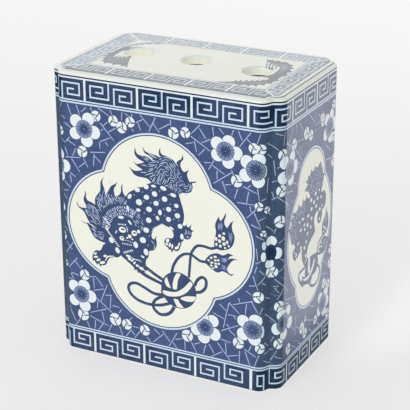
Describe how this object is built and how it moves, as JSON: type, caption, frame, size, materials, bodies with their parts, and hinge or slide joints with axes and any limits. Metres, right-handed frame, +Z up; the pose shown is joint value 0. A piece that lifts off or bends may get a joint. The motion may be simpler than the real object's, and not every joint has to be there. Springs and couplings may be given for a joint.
{
  "type": "ceramic pillow",
  "caption": "Hollow rectangular ceramic pillow with indented upright corners, a soft shoulder and round air holes in its flat top, printed in blue on white.",
  "frame": {"origin": "middle of the base, on the surface that the pillow stands on", "axes": "+Z up from the base to the pierced top, +X along the long side to the right end, -Y out of the front face"},
  "size_m": [0.19, 0.121, 0.23],
  "materials": {
    "printed_wall_glaze": "clear gloss glaze over a cobalt blue print on white porcelain",
    "printed_top_glaze": "clear gloss glaze over white porcelain with a cobalt blue border print",
    "bare_clay": "unglazed fired porcelain clay, matt and slightly rough"
  },
  "bodies": {
    "root": {"front_slab": "printed_wall_glaze", "right_end_slab": "printed_wall_glaze", "back_slab": "printed_wall_glaze", "left_end_slab": "printed_wall_glaze", "top_slab": "printed_top_glaze", "base_slab": "bare_clay", "corner_coil_front_right": "bare_clay", "corner_coil_back_right": "bare_clay", "corner_coil_back_left": "bare_clay", "corner_coil_front_left": "bare_clay", "upper_coil_front": "bare_clay", "upper_coil_right": "bare_clay", "upper_coil_back": "bare_clay", "upper_coil_left": "bare_clay"}
  },
  "joints": []
}
